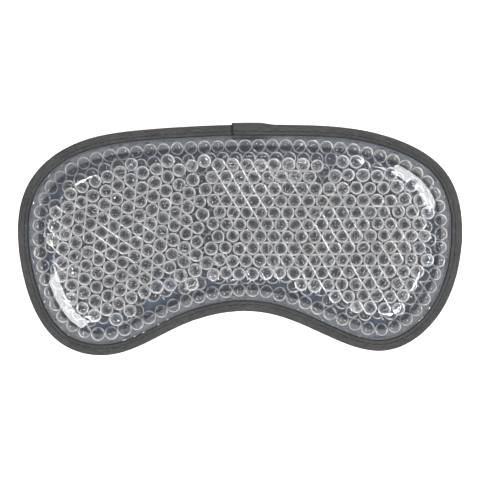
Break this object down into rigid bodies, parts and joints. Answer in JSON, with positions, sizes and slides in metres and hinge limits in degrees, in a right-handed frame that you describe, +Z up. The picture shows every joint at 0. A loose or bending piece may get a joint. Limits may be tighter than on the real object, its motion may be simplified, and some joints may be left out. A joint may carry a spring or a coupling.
{
  "type": "eye pillow",
  "caption": "Gel bead eye pillow: a clear film pouch of beads on a plush backing, curved to the brow with a nose notch and bound round the edge.",
  "frame": {"origin": "on the plane the pillow rests on, under the middle of its bounding box", "axes": "+X across the eyes, from the left of the picture to the right; +Y towards the brow, so the nose notch is at -Y; +Z up, out of the bead side, with the plush side down"},
  "size_m": [0.205, 0.1073, 0.014],
  "materials": {
    "clear_film": "gloss",
    "gel": "gloss",
    "plush": "matte",
    "binding": "matte",
    "thread": "satin"
  },
  "bodies": {
    "root": {"front_film": "clear_film", "back_film": "clear_film", "plush_backing": "plush", "edge_binding": "binding", "needle_thread": "thread", "bobbin_thread": "thread", "lower_beads_left": "gel", "lower_beads_middle": "gel", "lower_beads_right": "gel", "upper_beads_left": "gel", "upper_beads_middle": "gel", "upper_beads_right": "gel"}
  },
  "joints": []
}
